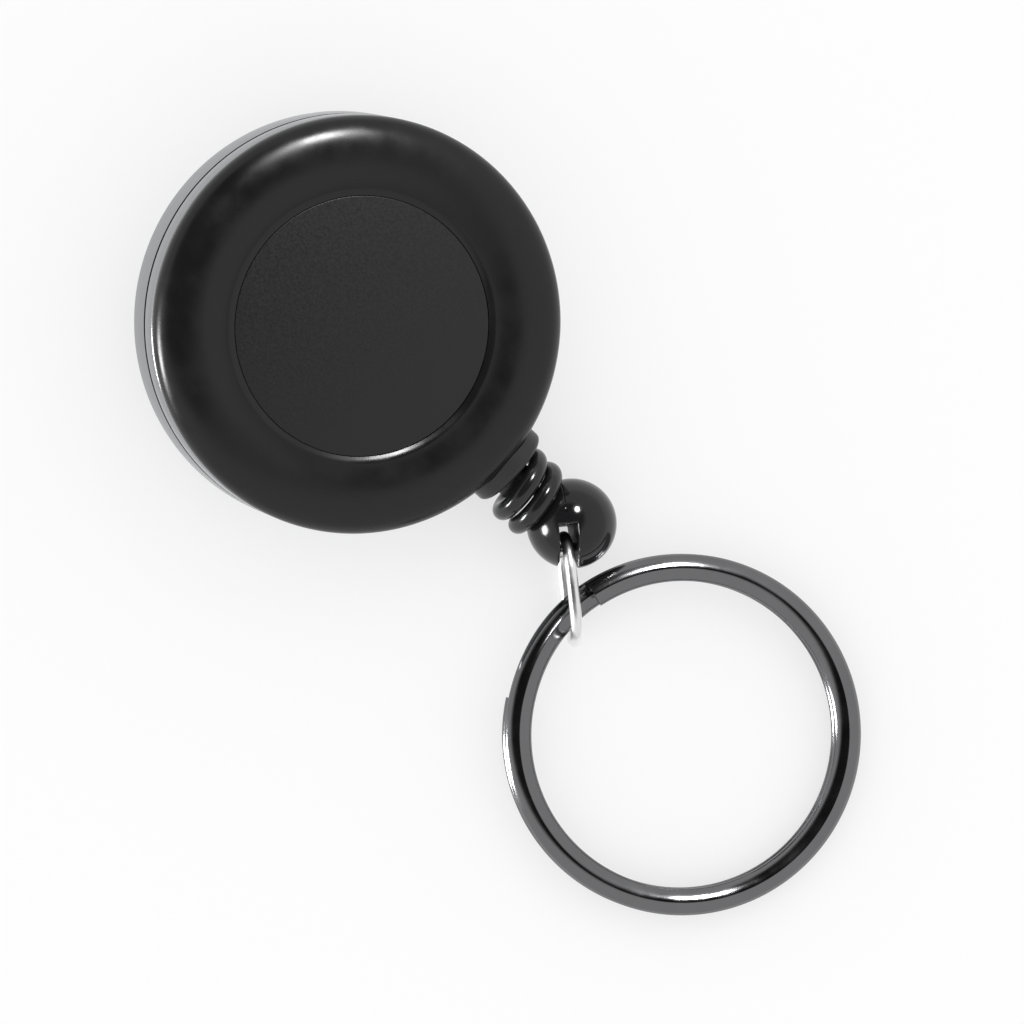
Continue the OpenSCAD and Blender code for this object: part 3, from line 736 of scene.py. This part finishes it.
def ballHalf(name, side, heart):
    # rays from a point inside the half find its surface, so every edge is truly round
    count = 96
    rounds = 34                                   # halvings of each ray, down to far less than a micron
    heart = np.array(heart) * mm
    steps = np.tan(np.linspace(-math.pi / 4, math.pi / 4, count + 1))
    bm = bmesh.new()
    points = []
    sheets = []
    for axis in range(3):
        for way in (-1, 1):
            u, v = np.meshgrid(steps, steps, indexing="ij")
            spots = np.zeros((count + 1, count + 1, 3))
            spots[..., axis] = way
            spots[..., (axis + 1) % 3] = u
            spots[..., (axis + 2) % 3] = v
            sheets.append(len(points) * (count + 1) ** 2)
            points.append(spots.reshape(-1, 3))
    rays = np.concatenate(points)
    rays /= np.linalg.norm(rays, axis=1)[:, None]
    near = np.zeros(len(rays))
    far = np.full(len(rays), 2.4 * ball["radius"])
    for _ in range(rounds):
        middle = (near + far) / 2
        outside = halfDistance(heart + rays * middle[:, None], side) > 0
        far = np.where(outside, middle, far)
        near = np.where(outside, near, middle)
    surfacePoints = heart + rays * near[:, None]
    verts = [bm.verts.new(p) for p in surfacePoints]
    for base in sheets:
        for i in range(count):
            for j in range(count):
                a = base + i * (count + 1) + j
                bm.faces.new((verts[a], verts[a + 1], verts[a + count + 2], verts[a + count + 1]))
    bmesh.ops.remove_doubles(bm, verts=bm.verts, dist=1e-8)
    bmesh.ops.recalc_face_normals(bm, faces=bm.faces)
    mesh = bpy.data.meshes.new(name)
    bm.to_mesh(mesh)
    bm.free()
    half = carved(mesh, [("DIFFERENCE", throatShape()), ("DIFFERENCE", pinHole())])
    half.materials.append(ballBlack)
    half.materials.append(slotPaintedShade)
    for polygon in half.polygons:                 # the walls of the slot and the throat are matt, and darkened as painted shade
        if polygon.center.length < ball["radius"] - ball["skin"]:
            polygon.material_index = 1
    half.transform(inBall)
    return half


def linkPin():
    r = pin["radius"] - pin["play"]
    half = pin["half"] - fit
    soft = pin["round"]
    outline = [(0, -half)]
    outline += arc((r - soft, -half + soft), soft, soft, -90, 0, 4)
    outline += arc((r - soft, half - soft), soft, soft, 0, 90, 4)
    outline += [(0, half)]
    return lathe("linkPin", outline, frameOf(pinAt, (0, 0, 1), swingWay), 64)


print("ball end")
largeHalf = ballHalf("ballLargeHalf", 1, ball["largeHeart"])
newObject("ballLargeHalf", largeHalf, ballBlack, "ball", "ball_large_half")
smallHalf = ballHalf("ballSmallHalf", -1, ball["smallHeart"])
newObject("ballSmallHalf", smallHalf, ballBlack, "ball", "ball_small_half")
newObject("linkPin", linkPin(), nickel, "ball", "link_pin")

# link and key ring

link = {"length": 9.0 * mm, "height": 6.0 * mm, "wire": 0.9 * mm, "rear": 0.5 * mm, "lift": 0.02 * mm}
linkPlace = inBall @ Matrix.Translation((
    link["rear"] + link["length"] / 2, -ball["slotOffset"],
    link["height"] / 2 + link["lift"] - ballCentre.z))
print("link and key ring")
linkMesh = grown("linkRing", ovalLinkTree(), {
    "Length": link["length"], "Height": link["height"], "Wire": link["wire"], "Finish": linkChrome},
    linkPlace @ Matrix.Rotation(math.pi / 2, 4, "X"))
newObject("linkRing", linkMesh, linkChrome, "link", "link_ring")

ring = {
    "radius": 14 * mm, "strandWidth": 2.1 * mm, "strandHeight": 1.3 * mm, "strandGap": 0.04 * mm,
    "roundness": 1.4, "joggle": math.radians(45), "cut": math.radians(9), "lift": 1.5 * mm,
    "heading": math.radians(-7),
}
ringMiddle = ring["radius"] - ring["strandWidth"] / 2
reach = ring["radius"] + ringMiddle
ringTilt = math.asin(ring["lift"] / reach)
ringWay = Vector((math.cos(ring["heading"]), math.sin(ring["heading"]), 0))
ringFar = Vector(joints["key_ring_flop"]["pos_m"]) + reach * math.cos(ringTilt) * ringWay
ringFar.z = 0
ringPlace = (frameOf(ringFar, ringWay, (0, 0, 1)) @ Matrix.Rotation(ringTilt, 4, "Y")
             @ Matrix.Translation((-ring["radius"], 0, 0)))
ringMesh = grown("keyRing", splitRingTree(), {
    "Radius": ringMiddle, "Strand width": ring["strandWidth"], "Strand height": ring["strandHeight"],
    "Pitch": ring["strandHeight"] + ring["strandGap"], "Joggle": ring["joggle"],
    "Start": math.pi - ring["cut"], "Roundness": ring["roundness"], "Finish": gunmetal}, ringPlace, 40)
newObject("keyRing", ringMesh, gunmetal, "key_ring_group", "key_ring")

# belt clip and centre rivet

clip = {
    "width": 10 * mm, "thick": 0.8 * mm, "bend": 2.7 * mm, "back": 10.5 * mm, "front": 6 * mm,
    "pad": 5 * mm, "fold": 262, "tipLength": 2 * mm, "tipGap": 0.1 * mm, "accessHole": 3.2 * mm,
    "edge": 0.14 * mm,
}
rivet = {
    "radius": 1.2 * mm, "head": 1.9 * mm, "headHeight": 0.3 * mm,
    "tailFlat": 0.9 * mm, "tailDrop": 0.3 * mm, "tailHeight": 0.5 * mm,
}
washer = {"radius": 3 * mm, "thick": 0.2 * mm, "round": 0.05 * mm}


def beltClip():
    # the pad lies on the case, the strip folds back on itself and its tip lies close to the pad
    t = clip["thick"]
    bend = clip["bend"]
    tip = -t - clip["tipGap"]
    tipStart = clip["front"] - clip["tipLength"]
    outline = [(clip["pad"], 0)]
    outline += arc((-clip["back"], -bend), bend, bend, 90, clip["fold"], 60)
    outline += [(tipStart, tip - t), (clip["front"], tip - t), (clip["front"], tip), (tipStart, tip)]
    outline += arc((-clip["back"], -bend), bend - t, bend - t, clip["fold"], 90, 48)
    outline += [(clip["pad"], -t)]
    strip = prism("beltClip", outline, -clip["width"] / 2, clip["width"] / 2)
    r = rivet["radius"] + fit
    hole = lathe("hole", [(0, -t - past), (r, -t - past), (r, past), (0, past)], Matrix.Identity(4), 72)
    r = clip["accessHole"]
    low = -3 * bend
    access = lathe("access", [(0, low), (r, low), (r, -t - fit), (0, -t - fit)], Matrix.Identity(4), 96)
    made = carved(strip, [("DIFFERENCE", hole), ("DIFFERENCE", access)], clip["edge"], 50)
    made.transform(inReel)
    return made


def centreRivet():
    headZ = coverUnder - fit
    tailZ = -clip["thick"] - rivet["tailDrop"]
    r = rivet["radius"]
    flat = rivet["tailFlat"]
    outline = [(0, tailZ - rivet["tailHeight"])]
    outline += arc((flat, tailZ), rivet["head"] - flat, rivet["tailHeight"], -90, 0, 12)
    outline += [(r, tailZ), (r, headZ)]
    outline += arc((r, headZ), rivet["head"] - r, rivet["headHeight"], 0, 90, 8)
    outline += [(0, headZ + rivet["headHeight"])]
    return lathe("centreRivet", outline, inReel, 96)


def clipWasher():
    inner = rivet["radius"] + fit
    outer = washer["radius"]
    high = -clip["thick"] - fit
    low = high - washer["thick"]
    soft = washer["round"]
    outline = [(inner, low), (outer - soft, low), (outer, low + soft), (outer, high - soft),
               (outer - soft, high), (inner, high)]
    return lathe("clipWasher", outline, inReel, 128)


print("belt clip")
newObject("beltClip", beltClip(), chrome, "case", "belt_clip")
newObject("centreRivet", centreRivet(), nickel, "case", "centre_rivet")
newObject("clipWasher", clipWasher(), nickel, "case", "clip_washer")

# inner works keep their CAD meshes

print("inner works")
innerFinishes = {
    "arbor": brass, "spool_washer": nickel, "slip_washer": whiteNylon, "spool": whiteNylon,
    "spool_cap": whiteNylon, "mainspring": springSteel, "cord_inner_layers": blackCord,
    "cord_outer_layer": blackCord, "cord_run": blackCord, "cord_stop": brass,
}
for node, material in innerFinishes.items():
    thing = frame["nodes"][node]
    thing.data.materials.clear()
    thing.data.materials.append(material)

# floor, light and camera

view = {
    "azimuth": math.radians(240.63), "tilt": math.radians(6.614), "roll": math.radians(40.76),
    "distance": 0.556, "focalPixels": 7205, "imagePixels": 1024, "sensor": 36,
    "target": Vector((0.137, -0.119, 4.0)) * mm,
}
# degrees from the camera axis, turn from image-up, distance, width, height and strength
lamps = {
    "keyLight": (40, 22, 0.6, 0.13, 0.15, 60),
    "keyHalo": (42, 21, 0.65, 0.26, 0.26, 0.9),
    "sideLight": (75, -104, 0.6, 0.18, 0.22, 34),
}
paper = {"half": 1.5, "deep": 0.01, "below": 0.02 * mm, "albedo": 0.86, "roughness": 0.9, "glow": 0.6}
sky = {
    "darkFromAxis": 15, "darkTurn": -26, "darkWithin": 32, "brightBeyond": 47, "dark": 0.02,
    "bright": 0.78, "onPaper": 1.12,
}


def cameraAxes():
    away = Vector((math.sin(view["tilt"]) * math.cos(view["azimuth"]),
                   math.sin(view["tilt"]) * math.sin(view["azimuth"]), math.cos(view["tilt"])))
    right = (-away).cross(Vector((0, 1, 0))).normalized()
    up = right.cross(-away)
    c, s = math.cos(view["roll"]), math.sin(view["roll"])
    return c * right + s * up, -s * right + c * up, away


imageRight, imageUp, away = cameraAxes()
camera = bpy.data.objects.new("camera", bpy.data.cameras.new("camera"))
bpy.context.scene.collection.objects.link(camera)
bpy.context.scene.camera = camera
camera.data.sensor_width = view["sensor"]
camera.data.lens = view["sensor"] * view["focalPixels"] / view["imagePixels"]
camera.data.clip_start = 0.01
camera.data.clip_end = 20
camera.matrix_world = Matrix((imageRight, imageUp, away)).transposed().to_4x4()
camera.matrix_world.translation = view["target"] + view["distance"] * away


def towards(fromAxis, turn):
    # a direction so many degrees from the camera axis, turned clockwise from image-up
    a, b = math.radians(fromAxis), math.radians(turn)
    return math.cos(a) * away + math.sin(a) * (math.cos(b) * imageUp + math.sin(b) * imageRight)


def softLight(name, fromAxis, turn, distance, width, height, radiance):
    # the lamps show in reflections, and the world alone lights the paper evenly
    lamp = bpy.data.lights.new(name, "AREA")
    lamp.shape = "ELLIPSE"
    lamp.size = width
    lamp.size_y = height
    lamp.energy = radiance * math.pi * width * height * math.pi / 4
    thing = bpy.data.objects.new(name, lamp)
    bpy.context.scene.collection.objects.link(thing)
    way = towards(fromAxis, turn)
    thing.matrix_world = frameOf(view["target"] + distance * way, imageRight, way)
    thing.visible_diffuse = False


print("light")
for name, values in lamps.items():
    softLight(name, *values)

half = paper["half"]
floorMesh = prism("floor", [(-half, -paper["deep"]), (half, -paper["deep"]), (half, -paper["below"]),
                            (-half, -paper["below"])], -half, half)
floor = bpy.data.objects.new("floor", floorMesh)
bpy.context.scene.collection.objects.link(floor)


def paperFinish():
    # pale paper that the camera and reflections see nearly white, with part of its own shading left
    material = bpy.data.materials.new("paper")
    material.use_nodes = True
    nodes = material.node_tree.nodes
    links = material.node_tree.links
    skin = nodes["Principled BSDF"]
    skin.inputs["Base Color"].default_value = (paper["albedo"], paper["albedo"], paper["albedo"], 1)
    skin.inputs["Roughness"].default_value = paper["roughness"]
    white = nodes.new("ShaderNodeEmission")
    white.inputs["Strength"].default_value = 1.0
    path = nodes.new("ShaderNodeLightPath")
    seen = path.outputs["Is Camera Ray"]
    for kind in ("Is Glossy Ray", "Is Transmission Ray"):
        either = nodes.new("ShaderNodeMath")
        either.operation = "MAXIMUM"
        links.new(seen, either.inputs[0])
        links.new(path.outputs[kind], either.inputs[1])
        seen = either.outputs[0]
    share = nodes.new("ShaderNodeMath")
    share.operation = "MULTIPLY"
    share.inputs[1].default_value = paper["glow"]
    links.new(seen, share.inputs[0])
    both = nodes.new("ShaderNodeMixShader")
    links.new(share.outputs[0], both.inputs[0])
    links.new(skin.outputs[0], both.inputs[1])
    links.new(white.outputs[0], both.inputs[2])
    links.new(both.outputs[0], nodes["Material Output"].inputs["Surface"])
    return material


floorMesh.materials.append(paperFinish())


def surroundings():
    # bright for the paper, calmer in reflections, with a dark patch above and left of the camera
    world = bpy.data.worlds.new("studio")
    bpy.context.scene.world = world
    world.use_nodes = True
    nodes = world.node_tree.nodes
    links = world.node_tree.links
    nodes.clear()
    where = nodes.new("ShaderNodeTexCoord").outputs["Generated"]
    facing = nodes.new("ShaderNodeVectorMath")
    facing.operation = "DOT_PRODUCT"
    facing.inputs[1].default_value = towards(sky["darkFromAxis"], sky["darkTurn"])
    links.new(where, facing.inputs[0])
    ramp = nodes.new("ShaderNodeMapRange")
    ramp.interpolation_type = "SMOOTHSTEP"
    ramp.inputs["From Min"].default_value = math.cos(math.radians(sky["darkWithin"]))
    ramp.inputs["From Max"].default_value = math.cos(math.radians(sky["brightBeyond"]))
    ramp.inputs["To Min"].default_value = sky["dark"]
    ramp.inputs["To Max"].default_value = sky["bright"]
    links.new(facing.outputs["Value"], ramp.inputs["Value"])
    path = nodes.new("ShaderNodeLightPath")
    level = nodes.new("ShaderNodeMix")
    level.inputs["A"].default_value = sky["onPaper"]
    links.new(path.outputs["Is Glossy Ray"], level.inputs["Factor"])
    links.new(ramp.outputs[0], level.inputs["B"])
    glow = nodes.new("ShaderNodeBackground")
    links.new(level.outputs["Result"], glow.inputs["Strength"])
    glow.inputs["Color"].default_value = (1, 1, 1, 1)
    out = nodes.new("ShaderNodeOutputWorld")
    links.new(glow.outputs[0], out.inputs["Surface"])


surroundings()
bpy.context.scene.view_settings.view_transform = "Standard"
print("done")
